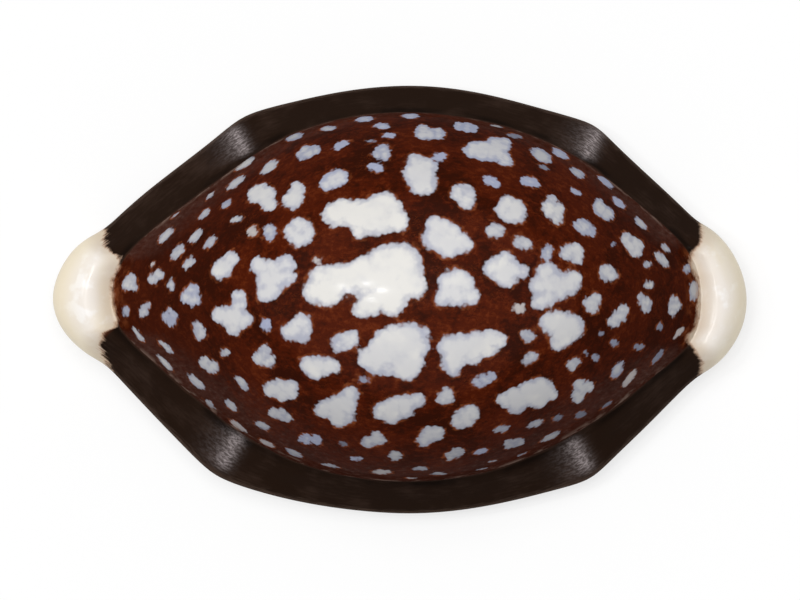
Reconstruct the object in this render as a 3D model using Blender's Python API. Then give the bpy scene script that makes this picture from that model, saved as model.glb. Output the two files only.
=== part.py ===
"""A serpent's-head cowrie shell, lying on its underside with its humped back up.

The shell is one piece of grown shell material, so it is one object.  Its skin is a
set of closed rings, lofted one to the next: they start at the crest of the back, run
down to the seam, over the thickened margin, under it along the flat underside, round
the toothed lips, through the slit between them, and end on the roof of the chamber.

Frame: +X points to the hind end, +Y to the side of the outer lip, +Z up.  The origin
is on the surface that the shell rests on, under the middle of its outline.
"""

import bmesh
import bpy
import numpy as np

MM = 0.001

# How finely the skin is faceted.
COLUMNS = 112
BACK_RINGS = 10

# Driving heights, in millimetres above the resting plane.
CROWN_Z = 15.6
SEAM_Z = 3.9
SEAM_Z_AT_ENDS = 3.75
EDGE_Z = 1.7
LIP_TOP_Z = 2.9
CHAMBER_FLOOR_Z = 3.2
WALL = 1.2

# Control points of the outline at the margin's widest line, in millimetres.  They go
# from the hind tip round the outer-lip side to the fore tip, and back on the other.
MARGIN = [
    (17.38, -0.05), (17.08, 1.5), (16.32, 2.83), (15.45, 3.62), (14.85, 3.88),
    (13.9, 4.85), (12.2, 6.4), (10.7, 7.8), (9.85, 8.68), (8.85, 9.05),
    (6.9, 9.6), (4.0, 10.4), (0.8, 10.8), (-2.6, 10.52), (-5.6, 9.83),
    (-7.35, 9.37), (-8.25, 8.88), (-9.3, 7.98), (-11.0, 6.68), (-12.8, 5.3),
    (-14.0, 4.22), (-14.75, 3.5), (-15.6, 3.08), (-16.45, 2.35), (-17.1, 1.2),
    (-17.36, 0.05), (-17.08, -1.1), (-16.4, -2.05), (-15.5, -2.8), (-14.7, -3.2),
    (-13.95, -4.0), (-12.5, -5.55), (-10.8, -7.3), (-9.6, -8.5), (-8.75, -9.0),
    (-7.2, -9.55), (-4.2, -10.32), (0.6, -10.84), (4.6, -10.32), (7.6, -9.53),
    (9.0, -9.15), (9.8, -8.75), (10.8, -7.75), (12.4, -6.25), (14.1, -4.5),
    (14.9, -3.8), (15.6, -3.4), (16.35, -2.72), (17.1, -1.5),
]

# Control points of the seam, where the back meets the margin, in the same order.
SEAM = [
    (15.05, 0.0), (14.95, 1.35), (14.3, 2.65), (12.9, 3.95), (11.1, 5.45),
    (9.2, 6.95), (7.0, 8.1), (4.2, 8.98), (0.8, 9.45), (-2.4, 9.2),
    (-5.2, 8.45), (-7.4, 7.2), (-9.4, 5.7), (-11.4, 4.25), (-13.1, 2.9),
    (-14.2, 1.5), (-14.45, 0.1), (-14.15, -1.3), (-13.0, -2.5), (-11.3, -3.95),
    (-9.4, -5.6), (-7.4, -7.05), (-5.1, -8.2), (-2.4, -8.93), (0.6, -9.15),
    (4.0, -8.8), (6.8, -7.75), (9.1, -6.5), (11.0, -5.2), (12.8, -3.7),
    (14.3, -2.5), (14.95, -1.3),
]

# The back: its highest point, and the half length and half width of its footprint.
APEX = (0.9, 0.2)
BACK_HALF_LENGTH = 14.7
BACK_HALF_WIDTH = 9.2
CREST_HALF_LENGTH = 11.4
FULLNESS_AT_SIDES = 0.52
FULLNESS_AT_ENDS = 0.95

# The slit between the lips, which bends to the inner-lip side at the hind end.
SLIT_MIDDLE_X = -0.2
SLIT_HALF_LENGTH = 15.2
SLIT_Y = 0.55
SLIT_BEND_HIND = -1.15
SLIT_BEND_FORE = -0.35
SLIT_HALF_WIDTH = 0.85
SLIT_FLARE_FORE = 0.2
TEETH_PER_LIP = 14
TOOTH_DEPTH = 0.45
CANAL_DEPTH = 1.1
CANAL_HALF_WIDTH = 0.9

# The chamber: its shares of the seam's length and width, and the inner whorl's bulge.
CHAMBER_SHARE = (0.88, 0.84)
INNER_WHORL_RISE = 3.5


def spline_weights(t):
    """The four weights of a uniform cubic B-spline at t, and those of its slope."""
    place = [(1 - t) ** 3, 3 * t**3 - 6 * t**2 + 4, -3 * t**3 + 3 * t**2 + 3 * t + 1]
    slope = [-3 * (1 - t) ** 2, 9 * t**2 - 12 * t, -9 * t**2 + 6 * t + 3]
    return np.array([*place, t**3]) / 6, np.array([*slope, 3 * t**2]) / 6


def closed_curve(control, count):
    """(points, tangents) at count even parameters of a closed B-spline."""
    control = np.array(control, float)
    at = np.arange(count) * len(control) / count
    first = np.floor(at).astype(int)
    place, slope = spline_weights(at - first)
    legs = [control[(first + k) % len(control)] for k in (-1, 0, 1, 2)]
    points = sum(w[:, None] * leg for w, leg in zip(place, legs))
    tangents = sum(w[:, None] * leg for w, leg in zip(slope, legs))
    return points, tangents / np.linalg.norm(tangents, axis=1, keepdims=True)


def ramp(value, low, high):
    """0 below low, 1 above high, and smooth between them."""
    share = np.clip((value - low) / (high - low), 0, 1)
    return share * share * (3 - 2 * share)


def reach(points, normals, outline):
    """How far each normal runs from its point before it meets the outline."""
    ahead = np.roll(outline, -1, axis=0)
    found = np.empty(len(points))
    for i, (point, normal) in enumerate(zip(points, normals)):
        side = np.array([-normal[1], normal[0]])
        near, far = (outline - point) @ side, (ahead - point) @ side
        share = near / np.where(near == far, 1, near - far)
        along = (outline - point) @ normal
        along = along + share * ((ahead - point) @ normal - along)
        crossed = (near * far <= 0) & (near != far) & (along > 0)
        found[i] = along[crossed].min()
    return found


def back_height(xy, seam, seam_z):
    """Height of the back over plan points inside the seam."""
    offset = xy - np.array(APEX)
    rim = seam - np.array(APEX)
    angle = np.arctan2(rim[:, 1], rim[:, 0])
    order = np.argsort(angle)
    towards = np.arctan2(offset[..., 1], offset[..., 0])
    radius = np.hypot(rim[:, 0], rim[:, 1])
    lens = np.hypot(offset[..., 0], offset[..., 1])
    lens = lens / np.interp(towards, angle[order], radius[order], period=2 * np.pi)
    foot = np.interp(towards, angle[order], seam_z[order], period=2 * np.pi)
    oval = np.hypot(offset[..., 0] / BACK_HALF_LENGTH, offset[..., 1] / BACK_HALF_WIDTH)
    blend = np.clip(lens, 0, 1) ** 2
    share = np.clip(lens * blend + oval * (1 - blend), 0, 1)
    endwards = ramp(np.abs(offset[..., 0]), 0.0, BACK_HALF_LENGTH)
    fullness = FULLNESS_AT_SIDES + (FULLNESS_AT_ENDS - FULLNESS_AT_SIDES) * endwards
    return foot + (CROWN_Z - foot) * (1 - share**2) ** fullness


def back_rings(seam, seam_z):
    """Rings from the crest line, which has no width, down to the seam."""
    turn = 2 * np.pi * np.arange(COLUMNS) / COLUMNS
    middle = np.array([APEX[0], APEX[1]])
    rings = []
    for step in range(BACK_RINGS + 1):
        out = np.sin(np.pi / 2 * step / BACK_RINGS)
        half = np.hypot(CREST_HALF_LENGTH, out * BACK_HALF_WIDTH)
        full = np.hypot(CREST_HALF_LENGTH, BACK_HALF_WIDTH)
        oval = np.stack([half * np.cos(turn), out * BACK_HALF_WIDTH * np.sin(turn)], 1)
        lens = (seam - middle) * np.array([half / full, out])
        xy = middle + oval + (lens - oval) * out**2
        rings.append(np.column_stack([xy, back_height(xy, seam, seam_z)]))
    return rings


def slit_outline(outwards):
    """The slit's edge, set back from its middle line by its half width plus outwards."""
    station = np.arange(COLUMNS) / COLUMNS
    along = np.abs(4 * station - 2) - 1
    side = np.where(station < 0.5, 1.0, -1.0)
    x = SLIT_MIDDLE_X + (SLIT_HALF_LENGTH + 0.5 * outwards) * along
    bend = np.where(along > 0, SLIT_BEND_HIND, SLIT_BEND_FORE) * along**2
    width = SLIT_HALF_WIDTH + SLIT_FLARE_FORE * ramp(-along, -0.5, 1) + outwards
    width = width * np.sqrt(np.clip(1 - np.abs(along) ** 5, 0, 1))
    return np.column_stack([x, SLIT_Y + bend + side * width])


def ring(xy, z):
    return np.column_stack([xy, np.broadcast_to(z, len(xy))])


def mix(a, b, share):
    return a + (b - a) * np.reshape(share, (-1, 1))


def skirt_control(seam, normals, width, seam_z, knob):
    """Control rings of the margin, the underside, the lips and the slit's walls."""
    def out(distance):
        return seam + normals * np.reshape(distance, (-1, 1))

    drop = seam_z - EDGE_Z
    inset = 1 - 0.45 * knob
    margin = [
        (0.0 * width, seam_z, seam_z),
        (0.35 * width, seam_z - 0.27 * drop, seam_z + 0.45),
        (0.70 * width, seam_z - 0.60 * drop, seam_z + 0.20),
        (0.97 * width, EDGE_Z + 0.50, EDGE_Z + 1.20),
        (1.07 * width, EDGE_Z - 0.15, EDGE_Z - 0.05),
        (width - 0.35 * inset, EDGE_Z - 1.00, EDGE_Z - 1.10),
        (width - 1.0 * inset, 0.12, 0.12),
    ]
    rings = [ring(out(d), side + (end - side) * knob) for d, side, end in margin]
    inner = out(width - 1.65 * inset)
    lip = slit_outline(1.3)
    rings += [ring(mix(inner, lip, share), 0.0) for share in (0.0, 0.22, 0.5, 0.72, 0.95)]
    rings += [
        ring(slit_outline(0.75), 0.02),
        ring(slit_outline(0.1), 0.35),
        ring(slit_outline(-0.1), 1.2),
        ring(slit_outline(0.0), 2.1),
        ring(slit_outline(0.3), LIP_TOP_Z),
    ]
    return rings


def chamber_control(back):
    """Control rings from the slit's inner edge up the chamber, a smaller copy of the back."""
    middle = np.array(APEX)
    squash = (CROWN_Z - WALL - CHAMBER_FLOOR_Z) / (CROWN_Z - SEAM_Z)
    wall = []
    for points in back[::-2]:
        xy = middle + (points[:, :2] - middle) * np.array(CHAMBER_SHARE)
        wall.append(ring(xy, CHAMBER_FLOOR_Z + (points[:, 2] - SEAM_Z) * squash))
    start = slit_outline(0.3)
    floor = ring(mix(start, wall[0][:, :2], 0.5), CHAMBER_FLOOR_Z)
    turn = 2 * np.pi * np.arange(COLUMNS) / COLUMNS
    floor[:, 2] += INNER_WHORL_RISE * ramp(-np.sin(turn), 0.30, 0.85)
    return [floor, *wall]


def through(rings):
    """One ring on the B-spline at each inner control ring, and the last one itself."""
    rings = np.array(rings)
    return list((rings[:-2] + 4 * rings[1:-1] + rings[2:]) / 6) + [rings[-1]]


def cut_canals(rings):
    """Hollows the underside of both tips, where the slit runs out."""
    for points in rings:
        bend = np.where(points[:, 0] > 0, SLIT_BEND_HIND, SLIT_BEND_FORE)
        offset = points[:, 1] - SLIT_Y - bend
        arch = np.exp(-((offset / CANAL_HALF_WIDTH) ** 2))
        near_tip = ramp(np.abs(points[:, 0]), 14.0, 16.0)
        low = 1 - ramp(points[:, 2], 0.3, 2.0)
        points[:, 2] += CANAL_DEPTH * arch * near_tip * low


def cut_teeth(rings, depths):
    """Grooves between the teeth: each ring's depth is (up, away from the slit)."""
    station = np.arange(COLUMNS) / COLUMNS
    wave = 0.5 - 0.5 * np.cos(2 * np.pi * 2 * TEETH_PER_LIP * station)
    along = np.abs(np.abs(4 * station - 2) - 1)
    wave = wave * (1 - ramp(along, 0.86, 0.97))
    side = np.where(station < 0.5, 1.0, -1.0)
    for points, (up, away) in zip(rings, depths):
        points[:, 2] += TOOTH_DEPTH * up * wave
        points[:, 1] += TOOTH_DEPTH * away * wave * side


def loft(rings):
    """A closed mesh with quads between neighbouring rings.

    The first and last rings are lines, whose two sides are welded together.
    """
    mesh = bmesh.new()
    rows = [[mesh.verts.new(point * MM) for point in points] for points in rings]
    for above, below in zip(rows, rows[1:]):
        for i, vertex in enumerate(above):
            j = (i + 1) % len(above)
            mesh.faces.new([vertex, below[i], below[j], above[j]])
    bmesh.ops.remove_doubles(mesh, verts=mesh.verts, dist=1e-6)
    bmesh.ops.dissolve_degenerate(mesh, edges=mesh.edges, dist=1e-7)
    bmesh.ops.recalc_face_normals(mesh, faces=mesh.faces)
    data = bpy.data.meshes.new("shell")
    mesh.to_mesh(data)
    mesh.free()
    return data


def shell_material():
    material = bpy.data.materials.new("shell")
    material.use_nodes = True
    surface = material.node_tree.nodes["Principled BSDF"]
    surface.inputs["Base Color"].default_value = (0.075, 0.022, 0.010, 1)
    surface.inputs["Roughness"].default_value = 0.22
    surface.inputs["Metallic"].default_value = 0.0
    return material


def build():
    for old in list(bpy.data.objects):
        bpy.data.objects.remove(old)
    seam, tangents = closed_curve(SEAM, COLUMNS)
    normals = np.column_stack([tangents[:, 1], -tangents[:, 0]])
    outline, _ = closed_curve(MARGIN, 4000)
    width = reach(seam, normals, outline)
    edge = seam + normals * width[:, None]
    knob = ramp(np.abs(edge[:, 0]), 14.4, 16.4)
    seam_z = SEAM_Z + (SEAM_Z_AT_ENDS - SEAM_Z) * knob

    rings = back_rings(seam, seam_z)
    control = skirt_control(seam, normals, width, seam_z, knob)
    control += chamber_control(rings)
    lower = through(control)
    # Underside, lip and slit wall: the rings that the teeth's grooves cross.
    cut_teeth(lower[9:15], [(0.15, 0), (0.7, 0), (1, 0.3), (0.6, 0.9), (0, 0.9), (0, 0.3)])
    cut_canals(lower[4:13])

    data = loft(rings + lower)
    data.materials.append(shell_material())
    data.shade_smooth()
    shell = bpy.data.objects.new("shell", data)
    collection = bpy.data.collections.new("cowrie_shell")
    bpy.context.scene.collection.children.link(collection)
    collection.objects.link(shell)


build()
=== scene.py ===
"""Looks of a serpent's-head cowrie shell lying on its toothed underside.

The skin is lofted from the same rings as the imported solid, much more finely, and its
markings are painted by smooth fields on its vertices: how far each point lies inside
the nearest pale spot, inside a cream end, or across the folds from the back's seam
round the margin and the underside to the lips.
"""

from __future__ import annotations

import logging
import math
from dataclasses import dataclass, field
from enum import Enum

import bpy
import numpy as np
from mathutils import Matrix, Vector

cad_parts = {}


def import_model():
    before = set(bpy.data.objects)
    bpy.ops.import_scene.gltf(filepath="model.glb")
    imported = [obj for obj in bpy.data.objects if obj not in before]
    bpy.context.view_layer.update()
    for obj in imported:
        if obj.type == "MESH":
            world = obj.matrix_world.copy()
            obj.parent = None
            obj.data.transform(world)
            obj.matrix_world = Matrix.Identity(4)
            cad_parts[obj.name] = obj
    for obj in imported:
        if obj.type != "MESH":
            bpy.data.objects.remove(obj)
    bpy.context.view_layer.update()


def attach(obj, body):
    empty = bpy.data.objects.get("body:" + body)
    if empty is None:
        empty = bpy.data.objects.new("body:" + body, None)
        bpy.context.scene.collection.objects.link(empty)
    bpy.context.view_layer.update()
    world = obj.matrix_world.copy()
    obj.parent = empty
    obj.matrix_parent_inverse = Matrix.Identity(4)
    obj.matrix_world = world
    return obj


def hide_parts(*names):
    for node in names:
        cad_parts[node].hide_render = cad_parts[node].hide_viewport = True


LOG = logging.getLogger("cowrie")

MM = 0.001
TINY = 1e-12

Colour = tuple[float, float, float]
Point = tuple[float, float]
Socket = bpy.types.NodeSocket


class Tone(Enum):
    """How cool a spot is: below 0 it is tan, 0 is cream, 1 blue-grey, and above 1 under a veil."""

    TAN = -0.4
    CREAM = 0.0
    WHITE = 0.3
    COOL = 0.6
    BLUE = 1.0
    DIM = 1.35
    FAINT = 1.5


class Field(Enum):
    """Names of the numbers that the mesh carries on its points for the materials."""

    SPOT = "spot"
    TONE = "tone"
    SIZE = "size"
    CREAM = "cream"
    FOLD = "fold"
    TOOTH = "tooth"
    # Painted highlight on the margin's corner ridges.
    CORNER_HIGHLIGHT = "corner_highlight"
    RIM = "rim"
    ALONG = "along"
    BRUSH = "brush"
    LEVEL = "level"
    # Painted shade: the inner side is darker.
    SHADE = "shade"
    END = "end"


# --------------------------------------------------------------------------- markings


@dataclass(frozen=True)
class Lobe:
    """One oval of a spot, in plan: its middle, half axes in mm, and angle in degrees."""

    x: float
    y: float
    long: float
    wide: float
    angle: float = 0.0


@dataclass(frozen=True)
class Spot:
    """A pale spot on the back: overlapping lobes of one tone."""

    lobes: tuple[Lobe, ...]
    tone: Tone = Tone.WHITE

    @property
    def size(self) -> float:
        """The radius, in millimetres, of a disc about as large as the spot."""
        return math.sqrt(sum(lobe.long * lobe.wide for lobe in self.lobes))


def blotch(*lobes: tuple[float, float, float], tone: Tone = Tone.WHITE) -> Spot:
    """A lobed spot.

    Args:
        lobes: Each lobe's x, y and radius in millimetres.
        tone: The spot's tone.

    Returns:
        The spot.
    """
    return Spot(tuple(Lobe(x, y, radius, radius) for x, y, radius in lobes), tone)


def flecks(tone: Tone, *ovals: tuple[float, ...]) -> list[Spot]:
    """Spots that are single ovals of one tone.

    Args:
        tone: The spots' tone.
        ovals: Each oval's middle x and y, its full length and width as seen from above,
            all in millimetres, and the angle of its length from +X, in degrees, if any.

    Returns:
        The spots.
    """
    return [
        Spot((Lobe(x, y, length / 2, width / 2, *angle),), tone)
        for x, y, length, width, *angle in ovals
    ]


TAN, CREAM, WHITE, COOL, BLUE, DIM, FAINT = Tone

CENTRE_SPOTS = [
    blotch((-3.2, 4.25, 0.68), (-2.8, 4.6, 0.52), (-2.2, 4.25, 0.75), (-1.45, 4.15, 0.93),
           (-0.75, 4.45, 0.98), (-0.15, 4.0, 0.62), (0.15, 3.9, 0.4), (-1.95, 3.4, 0.45),
           (-0.9, 3.65, 0.5), tone=CREAM),
    blotch((0.75, 6.9, 0.42), (0.95, 6.3, 0.75), (1.38, 6.48, 0.63), (1.08, 5.78, 0.6),
           (1.5, 5.65, 0.42)),
    blotch((1.75, 3.78, 0.45), (2.15, 3.5, 0.6), (1.83, 3.08, 0.67), (2.4, 2.8, 0.7),
           (3.0, 2.83, 0.55), (2.67, 3.3, 0.48), (3.38, 2.83, 0.4)),
    blotch((-4.25, 0.4, 0.6), (-4.0, 1.18, 0.53), (-3.5, 0.45, 0.82), (-3.3, 1.25, 0.6),
           (-2.7, 1.05, 0.8), (-1.7, 1.2, 1.0), (-0.75, 1.55, 1.12), (-0.3, 1.9, 0.93),
           (0.25, 1.9, 0.95), (0.55, 0.9, 0.85), (0.95, 0.55, 0.45), (-0.4, 0.3, 0.95),
           (-1.4, -0.2, 0.72), (-1.9, -0.6, 0.45), (-0.4, -0.25, 0.6), tone=CREAM),
    blotch((-1.65, -2.95, 0.52), (-0.85, -2.65, 0.88), (-0.7, -2.0, 0.55), (-0.1, -2.4, 1.12),
           (0.6, -2.0, 0.86), (0.4, -3.05, 0.95), (0.3, -3.55, 0.5), (1.4, -1.65, 0.28),
           (-1.1, -3.3, 0.52), (-0.5, -3.4, 0.48), (1.2, -2.3, 0.42)),
    blotch((2.45, -2.35, 0.56), (3.0, -2.4, 0.75), (3.8, -2.3, 0.7), (4.6, -2.0, 0.58),
           (5.05, -2.1, 0.4), (2.7, -3.1, 0.65), (2.7, -3.5, 0.38), (3.7, -2.75, 0.5),
           (4.4, -2.5, 0.45)),
    blotch((2.9, 0.95, 0.6), (2.4, 0.9, 0.5), (3.25, 0.75, 0.55), (2.38, 0.25, 0.52),
           (2.9, 0.12, 0.55), (3.62, 0.15, 0.47), (2.2, 0.02, 0.35)),
    blotch((5.3, 1.95, 0.5), (4.65, 1.6, 0.5), (5.2, 1.4, 0.7), (5.8, 1.5, 0.5), (6.2, 1.4, 0.38),
           (5.4, 0.95, 0.4)),
    blotch((7.3, 1.3, 0.5), (7.0, 0.7, 0.5), (7.7, 0.8, 0.7), (8.42, 0.75, 0.64),
           (8.85, 1.05, 0.4), (7.05, -0.08, 0.52), (8.05, 0.35, 0.42), (7.45, 0.15, 0.4),
           (7.5, 1.4, 0.45)),
    blotch((7.55, -1.18, 0.55), (8.1, -1.2, 0.66), (8.7, -1.25, 0.58), (8.2, -1.8, 0.6),
           (8.8, -1.6, 0.45), (7.9, -2.3, 0.35)),
    blotch((-6.98, 1.7, 0.52), (-6.6, 1.0, 0.57), (-5.6, 1.75, 0.52), (-5.52, 1.15, 0.43),
           (-6.05, 1.1, 0.6), (-6.62, 0.3, 0.5), (-6.3, 0.5, 0.45), (-6.3, 1.6, 0.45)),
    blotch((-8.02, 0.17, 0.4), (-7.95, -0.3, 0.42), (-8.93, -0.78, 0.48), (-8.3, -0.85, 0.65),
           (-7.72, -1.0, 0.45), (-8.2, -1.45, 0.4)),
    blotch((-4.85, -1.15, 0.5), (-4.75, -1.6, 0.45), (-5.2, -1.55, 0.55), (-5.55, -1.7, 0.4),
           (-4.85, -1.95, 0.35)),
    blotch((-4.55, -3.3, 0.45), (-4.1, -3.4, 0.6), (-3.5, -3.35, 0.48), (-3.2, -3.4, 0.3),
           (-4.1, -3.7, 0.33)),
    blotch((-2.45, -4.8, 0.52), (-3.75, -5.47, 0.52), (-3.1, -5.4, 0.65), (-2.52, -5.3, 0.48),
           (-3.0, -5.9, 0.5), (-2.5, -5.9, 0.35)),
    blotch((-0.9, -5.6, 0.45), (-0.3, -5.5, 0.65), (0.3, -5.35, 0.62), (0.95, -5.05, 0.42),
           (-0.4, -5.9, 0.35)),
    blotch((5.3, -5.05, 0.43), (5.85, -4.97, 0.63), (6.6, -4.7, 0.69), (7.17, -4.47, 0.63),
           (7.6, -4.7, 0.4), (5.9, -5.45, 0.35), (7.0, -4.95, 0.5)),
    blotch((3.75, 7.47, 0.46), (4.2, 7.42, 0.54), (4.8, 7.65, 0.52), (5.3, 7.75, 0.38),
           (5.3, 7.0, 0.35), (5.6, 6.8, 0.15), (4.7, 7.2, 0.35), (5.07, 7.25, 0.33),
           (3.4, 7.45, 0.22), tone=COOL),
    blotch((-5.03, 3.75, 0.4), (-4.65, 3.5, 0.45), (-5.4, 3.4, 0.4), (-5.0, 3.05, 0.5),
           (-4.6, 3.1, 0.35)),
]

MIDDLE_SPOTS = [
    blotch((-3.65, 5.75, 0.36), (-3.35, 5.95, 0.46), (-3.0, 6.1, 0.43), (-2.8, 6.05, 0.3),
           tone=COOL),
    blotch((-7.2, 5.2, 0.42), (-6.85, 5.35, 0.5), (-6.45, 5.35, 0.35), (-6.5, 4.8, 0.45)),
    blotch((-5.08, 5.58, 0.39), (-5.15, 5.15, 0.46), (-5.45, 4.95, 0.42), (-5.2, 4.8, 0.3)),
    blotch((3.0, 5.4, 0.4), (3.5, 5.35, 0.42), (3.45, 4.87, 0.41), (2.85, 5.2, 0.25),
           (3.15, 5.02, 0.32)),
    blotch((5.4, 4.9, 0.4), (5.2, 4.5, 0.45), (5.8, 4.6, 0.45), (5.9, 4.3, 0.5),
           (6.05, 4.5, 0.36), (5.5, 4.2, 0.42)),
    blotch((7.7, 5.0, 0.28), (7.5, 4.68, 0.37), (7.55, 4.4, 0.33), (7.98, 4.5, 0.38),
           (7.9, 4.07, 0.33)),
    blotch((6.02, 2.9, 0.32), (6.35, 2.78, 0.34)),
    blotch((8.65, -3.3, 0.32), (8.95, -3.1, 0.2)),
    blotch((8.4, 2.3, 0.4), (8.85, 2.5, 0.42), (8.95, 2.05, 0.35)),
    blotch((9.05, 3.75, 0.35), (9.3, 3.6, 0.4), (9.6, 3.45, 0.3), tone=COOL),
    blotch((9.98, 4.8, 0.28), (10.12, 4.5, 0.38), (10.42, 4.27, 0.36), tone=COOL),
    blotch((9.1, -4.35, 0.4), (9.5, -4.35, 0.3), (8.95, -4.85, 0.38)),
    blotch((2.45, -4.7, 0.35), (2.22, -4.92, 0.33), (2.5, -4.95, 0.27)),
    blotch((3.9, -4.15, 0.28), (4.3, -4.0, 0.35), (4.65, -3.8, 0.28), tone=COOL),
    blotch((2.95, -6.1, 0.38), (3.3, -5.8, 0.45), (3.72, -5.63, 0.42), (3.45, -6.1, 0.35)),
    blotch((1.25, -7.07, 0.35), (1.55, -6.75, 0.47), (1.93, -6.72, 0.4)),
    blotch((-3.0, -2.23, 0.47), (-2.63, -2.05, 0.43), (-2.3, -1.88, 0.43)),
    blotch((-6.7, -2.6, 0.33), (-7.0, -2.95, 0.35), (-6.5, -3.05, 0.38)),
    blotch((-6.4, -4.5, 0.42), (-6.0, -4.4, 0.45), (-5.4, -4.4, 0.45), (-5.8, -4.8, 0.35),
           (-5.3, -4.7, 0.3)),
    blotch((-6.3, -5.65, 0.28), (-5.9, -5.7, 0.33), (-5.55, -5.9, 0.28)),
    blotch((-9.0, 1.42, 0.46), (-8.72, 1.65, 0.5), (-8.3, 2.03, 0.42)),
    blotch((-10.3, 0.5, 0.32), (-10.6, 0.1, 0.32), (-10.25, 0.0, 0.4), tone=COOL),
    blotch((-10.1, -1.3, 0.24), (-10.0, -1.5, 0.26), (-9.9, -1.75, 0.32)),
    blotch((-9.7, -3.13, 0.33), (-9.33, -3.38, 0.35)),
    *flecks(TAN, (6.03, -0.45, 0.76, 0.7), (-4.08, 1.93, 0.58, 0.42, 20),
            (-7.32, 3.4, 0.56, 0.58)),
    *flecks(WHITE, (4.8, 3.45, 1.05, 0.85), (6.47, -1.8, 0.86, 0.66),
            (6.55, -2.93, 1.0, 0.55, 30), (-8.65, -2.67, 0.6, 0.48),
            (-7.83, -4.17, 1.05, 0.48, -50), (-8.1, 4.02, 0.75, 0.4, 25)),
    *flecks(COOL, (7.42, 2.35, 0.72, 0.85), (-6.44, 3.36, 0.74, 0.95)),
    *flecks(BLUE, (-6.63, -1.25, 0.58, 0.8), (-1.17, 6.6, 0.85, 0.53), (2.05, 7.12, 0.8, 0.58),
            (4.67, 5.88, 1.05, 0.54, -30), (6.55, 5.88, 1.18, 0.56, -18)),
    *flecks(DIM, (-1.77, -3.98, 0.7, 0.45)),
]

END_SPOTS = [
    blotch((-11.98, 1.25, 0.3), (-12.3, 1.0, 0.3)),
    blotch((-13.32, 1.12, 0.24), (-13.62, 0.72, 0.26), (-13.28, 0.62, 0.25), (-13.4, 0.88, 0.26)),
    blotch((-12.6, -0.3, 0.21), (-12.75, -0.65, 0.3)),
    blotch((-11.45, -0.6, 0.22), (-11.62, -0.87, 0.26), (-11.28, -0.85, 0.26),
           (-11.4, -1.15, 0.25), tone=COOL),
    blotch((11.4, 3.05, 0.32), (11.7, 2.75, 0.42), (12.0, 2.65, 0.32), (11.85, 2.35, 0.3)),
    blotch((10.4, 1.45, 0.35), (10.3, 1.2, 0.25), (10.65, 1.2, 0.35)),
    blotch((9.9, 0.05, 0.3), (9.55, -0.15, 0.35), (9.7, -0.4, 0.28)),
    blotch((12.1, 0.15, 0.22), (12.35, -0.15, 0.35), (12.35, -0.5, 0.25)),
    blotch((13.75, 0.0, 0.22), (13.75, -0.35, 0.32), (13.7, -0.65, 0.22), (14.0, -0.3, 0.15)),
    blotch((11.2, -0.5, 0.32), (11.0, -0.85, 0.38), (10.7, -1.15, 0.35)),
    *flecks(TAN, (-12.3, 1.74, 0.34, 0.3, 60), (14.03, -1.63, 0.9, 0.3, 50),
            (11.55, -3.93, 1.2, 0.4, 50)),
    *flecks(CREAM, (-13.05, -1.72, 1.08, 0.34, -50), (-11.68, -3.17, 1.2, 0.32, -45),
            (12.52, 0.72, 0.64, 0.52)),
    *flecks(WHITE, (-11.65, 3.2, 1.1, 0.45, 50), (-10.15, 3.18, 1.02, 0.47, 45),
            (-9.42, 2.87, 0.92, 0.42, 50), (-11.05, 2.38, 1.02, 0.5, 50),
            (-10.5, 1.8, 0.97, 0.52, 50), (-11.38, 0.72, 0.5, 0.72),
            (-11.6, -2.4, 1.0, 0.35, -45), (13.35, 2.57, 0.76, 0.33, -50),
            (13.15, 2.03, 1.06, 0.48, -48), (12.42, 1.75, 0.5, 0.42), (14.76, 0.42, 0.56, 1.02)),
    *flecks(COOL, (-13.65, -0.6, 0.46, 0.66), (14.4, 1.55, 0.45, 0.6),
            (10.95, -3.5, 1.1, 0.52, 60)),
    *flecks(DIM, (10.72, 2.75, 0.4, 0.36), (10.77, -2.17, 0.5, 0.5), (9.82, -2.95, 0.45, 0.5)),
    *flecks(FAINT, (10.15, -1.7, 0.35, 0.45), (13.07, -1.35, 0.4, 0.45), (12.0, -2.35, 0.55, 0.4),
            (9.35, -2.67, 0.36, 0.31), (12.98, -2.82, 1.15, 0.3, 52)),
]

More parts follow.
